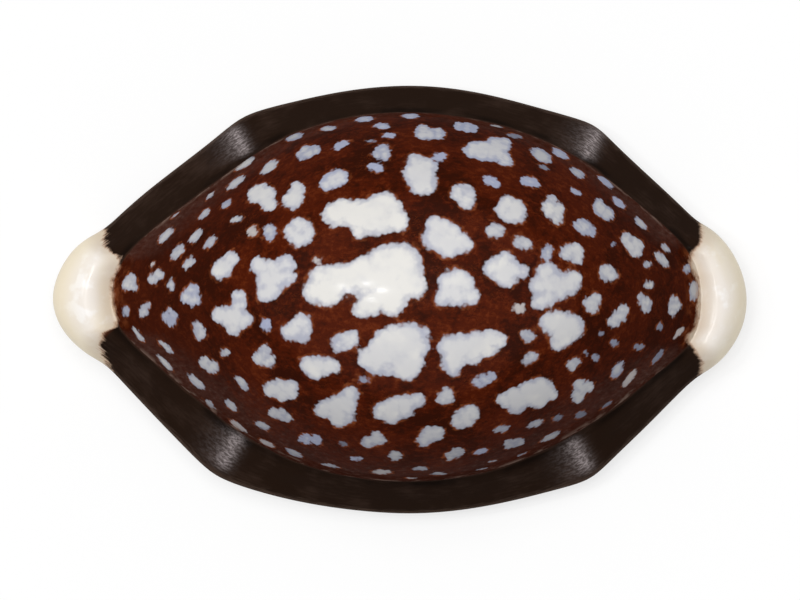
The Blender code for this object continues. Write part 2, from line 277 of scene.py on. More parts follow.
FLANK_SPOTS = [
    blotch((-4.92, 7.18, 0.25), (-4.6, 7.38, 0.36), (-4.17, 7.48, 0.29), tone=COOL),
    blotch((-1.1, 7.25, 0.28), (-1.0, 7.5, 0.24), (-0.65, 7.55, 0.26), (-0.7, 7.2, 0.29),
           tone=COOL),
    blotch((1.2, 8.36, 0.43), (1.6, 8.25, 0.33), (2.0, 8.3, 0.34), tone=COOL),
    blotch((2.98, 8.68, 0.25), (3.4, 8.6, 0.29), (3.75, 8.55, 0.24), tone=BLUE),
    blotch((-4.9, -6.98, 0.18), (-4.6, -6.97, 0.27), (-4.1, -7.01, 0.31), tone=BLUE),
    blotch((-1.55, -7.15, 0.33), (-1.15, -6.9, 0.38), (-0.85, -7.0, 0.27)),
    blotch((5.5, -7.25, 0.27), (5.9, -7.15, 0.25), (6.15, -7.1, 0.17)),
    blotch((2.5, -7.85, 0.25), (2.85, -7.65, 0.3), (3.1, -7.6, 0.2), tone=CREAM),
    *flecks(TAN, (-8.0, -6.33, 1.1, 0.28, -35), (-6.6, -7.17, 0.85, 0.26, -25),
            (-0.85, -8.62, 1.1, 0.28), (0.63, -8.93, 0.65, 0.1)),
    *flecks(CREAM, (-11.2, 4.2, 0.5, 0.14, 40), (-7.7, 6.8, 1.2, 0.4, 32),
            (4.85, 8.68, 0.7, 0.12, -10), (-9.45, -5.22, 0.72, 0.28, -45),
            (-0.2, -7.8, 0.85, 0.55), (7.6, -6.85, 1.15, 0.32, 28), (1.05, -8.45, 0.85, 0.26),
            (2.0, -8.7, 0.85, 0.2), (4.65, -8.08, 0.65, 0.14, 15), (4.12, -8.48, 0.75, 0.1, 12)),
    *flecks(WHITE, (-9.4, 5.22, 0.65, 0.25, 45), (-9.75, 4.25, 0.75, 0.35, 50),
            (-8.15, 5.85, 1.2, 0.4, 38), (-6.5, 6.6, 1.15, 0.5, 38),
            (-10.12, -4.1, 1.3, 0.44, -43), (-8.38, -5.3, 0.85, 0.42, -45),
            (-6.83, -6.28, 0.92, 0.42, -28), (-5.26, -7.66, 1.0, 0.32, -25),
            (-3.45, -8.3, 0.95, 0.2, -12), (5.17, -6.47, 0.95, 0.42, 18),
            (6.82, -6.22, 0.85, 0.4, 22), (6.15, -7.75, 0.65, 0.12, 22)),
    *flecks(COOL, (-8.65, 4.75, 0.88, 0.32, 40), (-5.2, 8.12, 1.08, 0.36, 20),
            (-3.5, 8.55, 0.85, 0.3, 5), (7.13, 7.21, 1.3, 0.62, -31),
            (8.95, 6.33, 1.0, 0.42, -35), (12.06, 3.83, 1.0, 0.42, -45)),
    *flecks(BLUE, (-2.9, 7.7, 1.02, 0.42, 20), (-1.7, 9.02, 1.0, 0.32, 5),
            (-0.83, 8.68, 0.92, 0.36), (-0.43, 8.21, 0.85, 0.34), (0.6, 9.17, 0.95, 0.3),
            (8.05, 7.3, 1.02, 0.4, -30), (10.36, 5.86, 1.05, 0.36, -38),
            (8.85, 5.37, 0.72, 0.32, -20), (11.0, 4.85, 0.9, 0.38, -40),
            (-2.13, -7.95, 0.8, 0.27), (4.1, -7.6, 0.78, 0.34, 20)),
    *flecks(DIM, (-1.43, 7.93, 0.5, 0.22)),
    *flecks(FAINT, (5.78, 8.18, 0.82, 0.27, -12), (7.28, 6.58, 0.7, 0.27, -25),
            (-2.77, -7.2, 0.52, 0.34), (7.95, -5.92, 0.6, 0.35, 35), (9.1, -5.75, 0.7, 0.38, 25),
            (10.42, -5.25, 0.85, 0.2, 35)),
]

# Where the cream of each end meets the darker shell, as (y, x) in mm across the shell.
FORE_CREAM_LINE = [
    (-3.5, -14.4), (-2.9, -14.7), (-2.4, -14.85), (-1.65, -14.8), (-1.4, -14.15), (-1.0, -14.05),
    (-0.4, -14.2), (0.0, -14.3), (0.5, -14.32), (1.0, -14.32), (1.35, -14.12), (1.9, -13.9),
    (2.2, -13.95), (2.4, -14.4), (2.7, -14.65), (3.6, -14.8),
]
HIND_CREAM_LINE = [
    (-3.7, 15.0), (-3.1, 15.0), (-2.5, 14.7), (-2.1, 14.27), (-1.75, 14.33), (-1.35, 14.72),
    (-0.6, 14.8), (0.6, 14.82), (1.15, 14.74), (1.5, 14.5), (1.9, 14.42), (2.3, 14.52),
    (2.75, 14.85), (3.1, 15.05), (3.7, 15.0),
]


# ------------------------------------------------------------------------------- form


def ramp(value: np.ndarray, low: float, high: float) -> np.ndarray:
    """0 below low, 1 above high, and smooth between them."""
    share = np.clip((value - low) / (high - low), 0, 1)
    return share * share * (3 - 2 * share)


def spline_weights(t: np.ndarray | float) -> tuple[np.ndarray, np.ndarray]:
    """Weights of a uniform cubic B-spline.

    Args:
        t: The place along a span, from 0 to 1.

    Returns:
        The four weights of the point there, and of its slope.
    """
    place = [(1 - t) ** 3, 3 * t**3 - 6 * t**2 + 4, -3 * t**3 + 3 * t**2 + 3 * t + 1, t**3]
    slope = [-3 * (1 - t) ** 2, 9 * t**2 - 12 * t, -9 * t**2 + 6 * t + 3, 3 * t**2]
    return np.array(place) / 6, np.array(slope) / 6


def closed_curve(control: list[Point], count: int) -> tuple[np.ndarray, np.ndarray]:
    """Even samples of a closed B-spline.

    Args:
        control: Its control points.
        count: How many samples to take.

    Returns:
        The points, and the unit tangents there.
    """
    corners = np.array(control, float)
    at = np.arange(count) * len(corners) / count
    first = np.floor(at).astype(int)
    place, slope = spline_weights(at - first)
    legs = [corners[(first + k) % len(corners)] for k in (-1, 0, 1, 2)]
    points = sum(w[:, None] * leg for w, leg in zip(place, legs))
    tangents = sum(w[:, None] * leg for w, leg in zip(slope, legs))
    return points, tangents / np.linalg.norm(tangents, axis=1, keepdims=True)


def reach(points: np.ndarray, normals: np.ndarray, outline: np.ndarray) -> np.ndarray:
    """How far each normal runs from its point before it meets the outline."""
    ahead = np.roll(outline, -1, axis=0)
    found = np.empty(len(points))
    for i, (point, normal) in enumerate(zip(points, normals)):
        side = np.array([-normal[1], normal[0]])
        near, far = (outline - point) @ side, (ahead - point) @ side
        share = near / np.where(near == far, 1, near - far)
        along = (outline - point) @ normal
        along = along + share * ((ahead - point) @ normal - along)
        crossed = (near * far <= 0) & (near != far) & (along > 0)
        found[i] = along[crossed].min()
    return found


def ring(xy: np.ndarray, z: np.ndarray | float) -> np.ndarray:
    """A ring of points in space from plan points and heights."""
    return np.column_stack([xy, np.broadcast_to(z, len(xy))])


def mix(a: np.ndarray, b: np.ndarray, share: np.ndarray | float) -> np.ndarray:
    """The blend from a to b, with one share for all points or one for each."""
    return a + (b - a) * np.reshape(share, (-1, 1))


@dataclass
class Skin:
    """The shell's rings, one after another, and what is known of each point.

    Attributes:
        points: Places in millimetres, by ring and column.
        fold: How far round the folds each ring is: 0 is the seam, and below 0 the back.
        tooth: 1 in the grooves between teeth, 0 on their crests.
        seam_ring: The index of the ring that is the seam.
    """

    points: np.ndarray
    fold: np.ndarray
    tooth: np.ndarray
    seam_ring: int


@dataclass
class ShellForm:
    """The shell's shape, in millimetres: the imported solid's own rings, taken finely.

    Attributes:
        canal_start: Distances from the middle between which the tips' canals begin.
        canal_roof: Heights between which a canal fades out.
        canal_folds: Folds between which a canal fades in, and out again.
        toothless: Shares of the slit's half length between which the teeth fade out.
        margin_spans: The span past which the margin ends and the underside begins.
        lip_spans: The span past which the lips end and the chamber begins.
        span_steps: Rings to each span of the margin, of the underside and of the chamber.
    """

    columns: int = 448
    back_rings: int = 88
    outline_points: int = 4000
    crown_z: float = 15.6
    seam_z: float = 3.9
    seam_z_at_ends: float = 3.75
    edge_z: float = 1.7
    lip_top_z: float = 2.9
    chamber_floor_z: float = 3.2
    wall: float = 1.2
    apex: Point = (0.9, 0.2)
    back_half: Point = (14.7, 9.2)
    crest_half_length: float = 11.4
    fullness_at_sides: float = 0.52
    fullness_at_ends: float = 0.95
    slit_middle_x: float = -0.2
    slit_half_length: float = 15.2
    slit_y: float = 0.55
    slit_bend: Point = (-1.15, -0.35)
    slit_half_width: float = 0.85
    slit_flare_fore: float = 0.2
    teeth_per_lip: int = 14
    tooth_depth: float = 0.45
    tooth_sharpness: float = 1.6
    toothless: Point = (0.86, 0.97)
    canal_depth: float = 1.1
    canal_half_width: float = 0.9
    canal_start: Point = (14.0, 16.0)
    canal_roof: Point = (0.3, 2.0)
    canal_folds: tuple[Point, Point] = ((4.0, 5.0), (13.0, 14.0))
    chamber_share: Point = (0.88, 0.84)
    inner_whorl_rise: float = 3.5
    margin_spans: int = 7
    lip_spans: int = 16
    span_steps: tuple[int, int, int] = (7, 5, 3)
    margin: list[Point] = field(default_factory=lambda: [
        (17.38, -0.05), (17.08, 1.5), (16.32, 2.83), (15.45, 3.62), (14.85, 3.88),
        (13.9, 4.85), (12.2, 6.4), (10.7, 7.8), (9.85, 8.68), (8.85, 9.05),
        (6.9, 9.6), (4.0, 10.4), (0.8, 10.8), (-2.6, 10.52), (-5.6, 9.83),
        (-7.35, 9.37), (-8.25, 8.88), (-9.3, 7.98), (-11.0, 6.68), (-12.8, 5.3),
        (-14.0, 4.22), (-14.75, 3.5), (-15.6, 3.08), (-16.45, 2.35), (-17.1, 1.2),
        (-17.36, 0.05), (-17.08, -1.1), (-16.4, -2.05), (-15.5, -2.8), (-14.7, -3.2),
        (-13.95, -4.0), (-12.5, -5.55), (-10.8, -7.3), (-9.6, -8.5), (-8.75, -9.0),
        (-7.2, -9.55), (-4.2, -10.32), (0.6, -10.84), (4.6, -10.32), (7.6, -9.53),
        (9.0, -9.15), (9.8, -8.75), (10.8, -7.75), (12.4, -6.25), (14.1, -4.5),
        (14.9, -3.8), (15.6, -3.4), (16.35, -2.72), (17.1, -1.5),
    ])
    seam: list[Point] = field(default_factory=lambda: [
        (15.05, 0.0), (14.95, 1.35), (14.3, 2.65), (12.9, 3.95), (11.1, 5.45),
        (9.2, 6.95), (7.0, 8.1), (4.2, 8.98), (0.8, 9.45), (-2.4, 9.2),
        (-5.2, 8.45), (-7.4, 7.2), (-9.4, 5.7), (-11.4, 4.25), (-13.1, 2.9),
        (-14.2, 1.5), (-14.45, 0.1), (-14.15, -1.3), (-13.0, -2.5), (-11.3, -3.95),
        (-9.4, -5.6), (-7.4, -7.05), (-5.1, -8.2), (-2.4, -8.93), (0.6, -9.15),
        (4.0, -8.8), (6.8, -7.75), (9.1, -6.5), (11.0, -5.2), (12.8, -3.7),
        (14.3, -2.5), (14.95, -1.3),
    ])

    def __post_init__(self) -> None:
        """Works out the seam, its normals and how wide the margin is at each column."""
        self.seam_xy, tangents = closed_curve(self.seam, self.columns)
        self.normals = np.column_stack([tangents[:, 1], -tangents[:, 0]])
        outline, _ = closed_curve(self.margin, self.outline_points)
        self.width = reach(self.seam_xy, self.normals, outline)
        edge = self.seam_xy + self.normals * self.width[:, None]
        self.knob = ramp(np.abs(edge[:, 0]), 14.4, 16.4)
        self.seam_heights = self.seam_z + (self.seam_z_at_ends - self.seam_z) * self.knob
        self.station = np.arange(self.columns) / self.columns

    def back_height(self, xy: np.ndarray) -> np.ndarray:
        """Height of the back.

        Args:
            xy: Plan points inside the seam.

        Returns:
            The height over each of them.
        """
        offset = xy - np.array(self.apex)
        rim = self.seam_xy - np.array(self.apex)
        angle = np.arctan2(rim[:, 1], rim[:, 0])
        order = np.argsort(angle)
        towards = np.arctan2(offset[..., 1], offset[..., 0])
        radius = np.hypot(rim[:, 0], rim[:, 1])
        lens = np.hypot(offset[..., 0], offset[..., 1])
        lens = lens / np.interp(towards, angle[order], radius[order], period=2 * np.pi)
        foot = np.interp(towards, angle[order], self.seam_heights[order], period=2 * np.pi)
        oval = np.hypot(offset[..., 0] / self.back_half[0], offset[..., 1] / self.back_half[1])
        blend = np.clip(lens, 0, 1) ** 2
        share = np.clip(lens * blend + oval * (1 - blend), 0, 1)
        endwards = ramp(np.abs(offset[..., 0]), 0.0, self.back_half[0])
        fullness = self.fullness_at_sides
        fullness = fullness + (self.fullness_at_ends - fullness) * endwards
        return foot + (self.crown_z - foot) * (1 - share**2) ** fullness

    def back(self, count: int) -> list[np.ndarray]:
        """Rings from the crest line, which has no width, down to the seam."""
        turn = 2 * np.pi * self.station
        middle = np.array(self.apex)
        half_width = self.back_half[1]
        full = np.hypot(self.crest_half_length, half_width)
        rings = []
        for step in range(count + 1):
            out = np.sin(np.pi / 2 * step / count)
            half = np.hypot(self.crest_half_length, out * half_width)
            oval = np.stack([half * np.cos(turn), out * half_width * np.sin(turn)], 1)
            lens = (self.seam_xy - middle) * np.array([half / full, out])
            xy = middle + oval + (lens - oval) * out**2
            rings.append(ring(xy, self.back_height(xy)))
        return rings

    def slit(self, outwards: float) -> np.ndarray:
        """The slit's edge, set back from its middle line by its half width plus outwards."""
        along = np.abs(4 * self.station - 2) - 1
        side = np.where(self.station < 0.5, 1.0, -1.0)
        x = self.slit_middle_x + (self.slit_half_length + 0.5 * outwards) * along
        bend = np.where(along > 0, *self.slit_bend) * along**2
        width = self.slit_half_width + self.slit_flare_fore * ramp(-along, -0.5, 1) + outwards
        width = width * np.sqrt(np.clip(1 - np.abs(along) ** 5, 0, 1))
        return np.column_stack([x, self.slit_y + bend + side * width])

    def out(self, distance: np.ndarray) -> np.ndarray:
        """Plan points that lie a distance outside the seam."""
        return self.seam_xy + self.normals * np.reshape(distance, (-1, 1))

    def skirt_control(self) -> list[np.ndarray]:
        """Control rings of the margin, the underside, the lips and the slit's walls."""
        width, knob, top = self.width, self.knob, self.seam_heights
        drop = top - self.edge_z
        inset = 1 - 0.45 * knob
        # How far outside the seam, the height at the sides and the height at the ends.
        profile = [
            (0.0 * width, top, top),
            (0.35 * width, top - 0.27 * drop, top + 0.45),
            (0.70 * width, top - 0.60 * drop, top + 0.20),
            (0.97 * width, self.edge_z + 0.50, self.edge_z + 1.20),
            (1.07 * width, self.edge_z - 0.15, self.edge_z - 0.05),
            (width - 0.35 * inset, self.edge_z - 1.00, self.edge_z - 1.10),
            (width - 1.0 * inset, 0.12, 0.12),
        ]
        rings = [ring(self.out(d), side + (end - side) * knob) for d, side, end in profile]
        inner, lip = self.out(width - 1.65 * inset), self.slit(1.3)
        rings += [ring(mix(inner, lip, share), 0.0) for share in (0.0, 0.22, 0.5, 0.72, 0.95)]
        rings += [
            ring(self.slit(0.75), 0.02),
            ring(self.slit(0.1), 0.35),
            ring(self.slit(-0.1), 1.2),
            ring(self.slit(0.0), 2.1),
            ring(self.slit(0.3), self.lip_top_z),
        ]
        return rings

    def chamber_control(self) -> list[np.ndarray]:
        """Control rings from the slit's inner edge up the chamber, a smaller copy of the back."""
        middle = np.array(self.apex)
        squash = self.crown_z - self.wall - self.chamber_floor_z
        squash /= self.crown_z - self.seam_z
        wall = []
        for points in self.back(10)[::-2]:
            xy = middle + (points[:, :2] - middle) * np.array(self.chamber_share)
            wall.append(ring(xy, self.chamber_floor_z + (points[:, 2] - self.seam_z) * squash))
        floor = ring(mix(self.slit(0.3), wall[0][:, :2], 0.5), self.chamber_floor_z)
        turn = 2 * np.pi * self.station
        floor[:, 2] += self.inner_whorl_rise * ramp(-np.sin(turn), 0.30, 0.85)
        return [floor, *wall]

    def smooth_rings(self, control: list[np.ndarray]) -> tuple[np.ndarray, np.ndarray]:
        """Many rings on the B-spline through the control rings.

        Args:
            control: The control rings, of which the first and last are met exactly.

        Returns:
            The rings after the first, and the number of folds that each is past it.
        """
        legs = np.array(control)
        legs = np.concatenate([[2 * legs[0] - legs[1]], legs, [2 * legs[-1] - legs[-2]]])
        rings, folds = [], []
        spans = len(control) - 1
        for span in range(spans):
            steps = self.span_steps[(span >= self.margin_spans) + (span >= self.lip_spans)]
            for step in range(steps):
                place, _ = spline_weights(step / steps)
                rings.append(np.tensordot(place, legs[span:span + 4], 1))
                folds.append(span + step / steps)
        rings.append(legs[-2])
        folds.append(float(spans))
        return np.array(rings[1:]), np.array(folds[1:])

    def cut_canals(self, rings: np.ndarray, fold: np.ndarray) -> None:
        """Hollows the underside of both tips, where the slit runs out."""
        x, y, z = rings[..., 0], rings[..., 1], rings[..., 2]
        offset = y - self.slit_y - np.where(x > 0, *self.slit_bend)
        arch = np.exp(-((offset / self.canal_half_width) ** 2))
        arch *= ramp(np.abs(x), *self.canal_start) * (1 - ramp(z, *self.canal_roof))
        begin, end = self.canal_folds
        reached = ramp(fold, *begin) * (1 - ramp(fold, *end))
        rings[..., 2] += self.canal_depth * arch * reached[:, None]

    def cut_teeth(self, rings: np.ndarray, fold: np.ndarray) -> np.ndarray:
        """Grooves between the teeth.

        Args:
            rings: The rings to cut.
            fold: Each ring's fold.

        Returns:
            The mask of the grooves, by ring and column.
        """
        wave = 0.5 - 0.5 * np.cos(4 * np.pi * self.teeth_per_lip * self.station)
        along = np.abs(np.abs(4 * self.station - 2) - 1)
        wave = wave**self.tooth_sharpness * (1 - ramp(along, *self.toothless))
        side = np.where(self.station < 0.5, 1.0, -1.0)
        up = np.interp(fold, [9, 10, 11, 12, 13, 14], [0, 0.15, 0.7, 1.0, 0.6, 0])
        away = np.interp(fold, [11, 12, 13, 14, 15, 16], [0, 0.3, 0.9, 0.9, 0.3, 0])
        rings[..., 2] += self.tooth_depth * up[:, None] * wave
        rings[..., 1] += self.tooth_depth * away[:, None] * wave * side
        strength = np.interp(fold, [9.2, 10.6, 15, 16], [0, 1, 1, 0])
        return strength[:, None] * wave

    def skin(self) -> Skin:
        """Lofts the whole shell."""
        back = np.array(self.back(self.back_rings))
        lower, fold = self.smooth_rings(self.skirt_control() + self.chamber_control())
        tooth = self.cut_teeth(lower, fold)
        self.cut_canals(lower, fold)
        back_fold = np.linspace(-1, 0, len(back))
        return Skin(
            points=np.concatenate([back, lower]),
            fold=np.concatenate([back_fold, fold]),
            tooth=np.concatenate([np.zeros(back.shape[:2]), tooth]),
            seam_ring=len(back) - 1,
        )


@dataclass
class Markings:
    """The shell's markings, worked out as smooth numbers on the points of its skin.

    Attributes:
        form: The shell's shape.
        deepest: The greatest depth that is told apart, inside a spot or outside.
        blend: How softly the lobes of a spot run together.
        lobe_core: The share of a lobe that is left out where its rim is too near to tell.
        deepest_cream: The same as deepest, for the cream of the ends.
        eye_height: How high the point is from which the spots' plan is drawn.
        plan_height: The height of the level that the plan is drawn on.
        plan_shift: How far the plan's middle is from the shell's.
        ridges: The inner and outer ends of the painted ridge highlight at each of the four
            corners.
        ridge_width: How wide the bright core of a ridge is.
        ridge_sides: How far its halo reaches on either side.
        ridge_core: The core's share of the brightness.
        ridge_ends: Shares of a ridge between which it fades in, and out again.
        ridge_top: The height above which no highlight is painted.
        brush_side: Distances from the shell's middle line over which the fraying sets in.
        hind_brush: How frayed the hind end's cream is beside the fore end's.
    """

    form: ShellForm
    deepest: float = 1.5
    blend: float = 0.12
    lobe_core: float = 0.05
    deepest_cream: float = 4.0
    eye_height: float = 669.0
    plan_height: float = 2.3
    plan_shift: Point = (-0.06, 0.01)
    ridges: tuple[tuple[Point, Point], ...] = (
        ((-7.72, 7.3), (-8.4, 8.65)), ((9.3, 7.1), (9.95, 8.65)),
        ((-8.02, -6.75), (-9.0, -8.5)), ((8.6, -7.0), (9.5, -8.65)),
    )
    ridge_width: float = 0.36
    ridge_sides: Point = (0.3, 0.8)
    ridge_core: float = 0.55
    ridge_ends: tuple[Point, Point] = ((-0.15, 0.15), (0.75, 1.1))
    ridge_top: float = 4.5
    brush_side: Point = (1.3, 2.6)
    hind_brush: float = 0.12

    def spots(self, points: np.ndarray) -> tuple[np.ndarray, np.ndarray, np.ndarray]:
        """Depth inside the pale spots.

        Args:
            points: Places on the back, in millimetres.

        Returns:
            How far each point lies inside the nearest spot, less than 0 outside, and
            that spot's tone and size.
        """
        every = CENTRE_SPOTS + MIDDLE_SPOTS + END_SPOTS + FLANK_SPOTS
        best = np.full(len(points), -self.deepest)
        tone = np.zeros(len(points))
        size = np.zeros(len(points))
        weight = np.zeros(len(points))
        for spot in every:
            inside = np.zeros(len(points))
            for lobe in spot.lobes:
                inside += np.exp(self.depth_in_lobe(points, lobe) / self.blend)
            depth = self.blend * np.log(inside + TINY)
            near = np.exp(np.clip(depth, -self.deepest, 0.0) / self.blend)
            tone += near * spot.tone.value
            size += near * spot.size
            weight += near
            best = np.maximum(best, depth)
        return np.clip(best, -self.deepest, self.deepest), tone / weight, size / weight

    def depth_in_lobe(self, points: np.ndarray, lobe: Lobe) -> np.ndarray:
        """How far each point lies inside one lobe, measured over the surface."""
        offset = points - self.seat(lobe)
        turn = math.radians(lobe.angle)
        along = offset[:, 0] * math.cos(turn) + offset[:, 1] * math.sin(turn)
        across = offset[:, 1] * math.cos(turn) - offset[:, 0] * math.sin(turn)
        share = np.hypot(along / lobe.long, across / lobe.wide)
        span = np.linalg.norm(offset, axis=1)
        radius = (span + self.lobe_core * lobe.wide) / (share + self.lobe_core)
        return np.clip(radius * (1 - share), -self.deepest, self.deepest)

    def seat(self, lobe: Lobe) -> np.ndarray:
        """The place on the back that shows a lobe's middle where its plan has it."""
        seen = np.array([lobe.x, lobe.y])
        place = seen
        for _ in range(2):
            height = self.form.back_height(place[None, :])[0]
            nearness = (self.eye_height - height) / (self.eye_height - self.plan_height)
            place = seen * nearness + np.array(self.plan_shift)
        return np.array([*place, height])

    def cream(self, points: np.ndarray) -> np.ndarray:
        """How far each point lies inside the cream of an end, less than 0 outside."""
        x, y = points[:, 0], points[:, 1]
        fore = np.interp(y, *zip(*FORE_CREAM_LINE)) - x
        hind = x - np.interp(y, *zip(*HIND_CREAM_LINE))
        return np.clip(np.maximum(fore, hind), -self.deepest_cream, self.deepest_cream)

    def brush(self, points: np.ndarray) -> np.ndarray:
        """How raggedly the cream ends at each point: most where it meets the fore margin."""
        along, across = points[:, 0], np.abs(points[:, 1])
        hind = ramp(along, -1.0, 1.0)
        return ramp(across, *self.brush_side) * (1 + (self.hind_brush - 1) * hind)

    def corner_highlights(self, points: np.ndarray) -> np.ndarray:
        """Painted highlight: 1 on the ridge at each corner of the margin, fading beside it."""
        found = np.zeros(len(points))
        for inner, outer in np.array(self.ridges):
            span = np.linalg.norm(outer - inner)
            course = (outer - inner) / span
            away = points[:, :2] - inner
            along = away @ course / span
            beside = away @ np.array([course[1], -course[0]]) * np.sign(course[1])
            core = np.exp(-(beside / self.ridge_width) ** 2)
            halo = np.exp(-np.abs(beside / np.where(beside > 0, *self.ridge_sides)) ** 1.4)
            glow = halo + (core - halo) * self.ridge_core
            begin, end = self.ridge_ends
            glow *= ramp(along, *begin) * (1 - ramp(along, *end))
            found = np.maximum(found, glow * (points[:, 2] < self.ridge_top))
        return found


# ---------------------------------------------------------------------------- shading


@dataclass
class Graph:
    """A node tree, and short ways to add the nodes that the finishes use."""

    tree: bpy.types.NodeTree

    def add(self, kind: str, **values: object) -> bpy.types.Node:
        """Adds a node and sets its own values."""
        node = self.tree.nodes.new(kind)
        for name, value in values.items():
            setattr(node, name, value)
        return node

    def feed(self, socket: Socket, value: Socket | float | Colour) -> None:
        """Links a socket, or sets it to a plain value."""
        if isinstance(value, bpy.types.NodeSocket):
            self.tree.links.new(value, socket)
        elif isinstance(value, tuple) and len(value) == 3 and socket.type == "RGBA":
            socket.default_value = (*value, 1.0)
        else:
            socket.default_value = value

    def math(self, operation: str, a: Socket | float, b: Socket | float = 0.0) -> Socket:
        """A Math node."""
        node = self.add("ShaderNodeMath", operation=operation)
        self.feed(node.inputs[0], a)
        self.feed(node.inputs[1], b)
        return node.outputs[0]

    def times(self, a: Socket, b: Socket | float) -> Socket:
        """a * b."""
        return self.math("MULTIPLY", a, b)

    def total(self, *parts: Socket | float) -> Socket:
        """The sum of several numbers."""
        result = parts[0]
        for part in parts[1:]:
            result = self.math("ADD", result, part)
        return result

    def scaled(self, value: Socket, factor: float, offset: float = 0.0) -> Socket:
        """value * factor + offset."""
        node = self.add("ShaderNodeMath", operation="MULTIPLY_ADD")
        self.feed(node.inputs[0], value)
        self.feed(node.inputs[1], factor)
        self.feed(node.inputs[2], offset)
        return node.outputs[0]

    def rise(self, value: Socket, low: float, high: float, to: float = 1.0) -> Socket:
        """0 where value is below low, to where it is above high, smooth between."""
        node = self.add("ShaderNodeMapRange", interpolation_type="SMOOTHSTEP")
        limits = {"From Min": low, "From Max": high, "To Min": 0.0, "To Max": to}
        for name, limit in limits.items():
            node.inputs[name].default_value = limit
        self.feed(node.inputs["Value"], value)
        return node.outputs[0]

    def mix(self, share: Socket | float, a: Socket | Colour, b: Socket | Colour) -> Socket:
        """A colour Mix node."""
        node = self.add("ShaderNodeMix", data_type="RGBA")
        self.feed(node.inputs[0], share)
        self.feed(node.inputs[6], a)
        self.feed(node.inputs[7], b)
        return node.outputs[2]

    def layers(self, base: Socket | Colour, *coats: tuple[Socket, Socket | Colour]) -> Socket:
        """Lays colours over a base, one after another, each with its own share."""
        for share, colour in coats:
            base = self.mix(share, base, colour)
        return base

    def number(self, which: Field) -> Socket:
        """One of the numbers that the mesh carries."""
        return self.add("ShaderNodeAttribute", attribute_name=which.value).outputs["Fac"]

    def noise(self, place: Socket, scale: float, detail: float = 2.0, roughness: float = 0.5,
              distortion: float = 0.0, stretch: Colour = (1, 1, 1)) -> Socket:
        """Noise about 0, with scale in bumps a millimetre before the stretch."""
        mapping = self.add("ShaderNodeMapping")
        self.feed(mapping.inputs["Vector"], place)
        mapping.inputs["Scale"].default_value = tuple(scale * s / MM for s in stretch)
        node = self.add("ShaderNodeTexNoise")
        node.inputs["Scale"].default_value = 1.0
        node.inputs["Detail"].default_value = detail
        node.inputs["Roughness"].default_value = roughness
        node.inputs["Distortion"].default_value = distortion
        self.feed(node.inputs["Vector"], mapping.outputs[0])
        return self.scaled(node.outputs["Fac"], 1.0, -0.5)

    def patches(self, noise: Socket, low: float, high: float, to: float, within: Socket) -> Socket:
        """A mask, broken into soft patches of strength to where the noise is above high."""
        return self.times(within, self.rise(noise, low, high, to))

    def bumps(self, place: Socket, scale: float) -> Socket:
        """Rounded cells, from about 0.5 in their middles to -0.2 between them."""
        node = self.add("ShaderNodeTexVoronoi", feature="SMOOTH_F1")
        node.inputs["Scale"].default_value = scale / MM
        node.inputs["Smoothness"].default_value = 0.35
        self.feed(node.inputs["Vector"], place)
        return self.scaled(node.outputs["Distance"], -1.0, 0.5)


def put(name: str, data: bpy.types.ID) -> bpy.types.Object:
    """Puts a new object with its data in the scene."""
    made = bpy.data.objects.new(name, data)
    bpy.context.scene.collection.objects.link(made)
    return made


def blank_material(name: str) -> tuple[bpy.types.Material, Graph]:
    """A new material with no nodes yet, and its graph."""
    material = bpy.data.materials.new(name)
    material.use_nodes = True
    material.node_tree.nodes.clear()
    return material, Graph(material.node_tree)


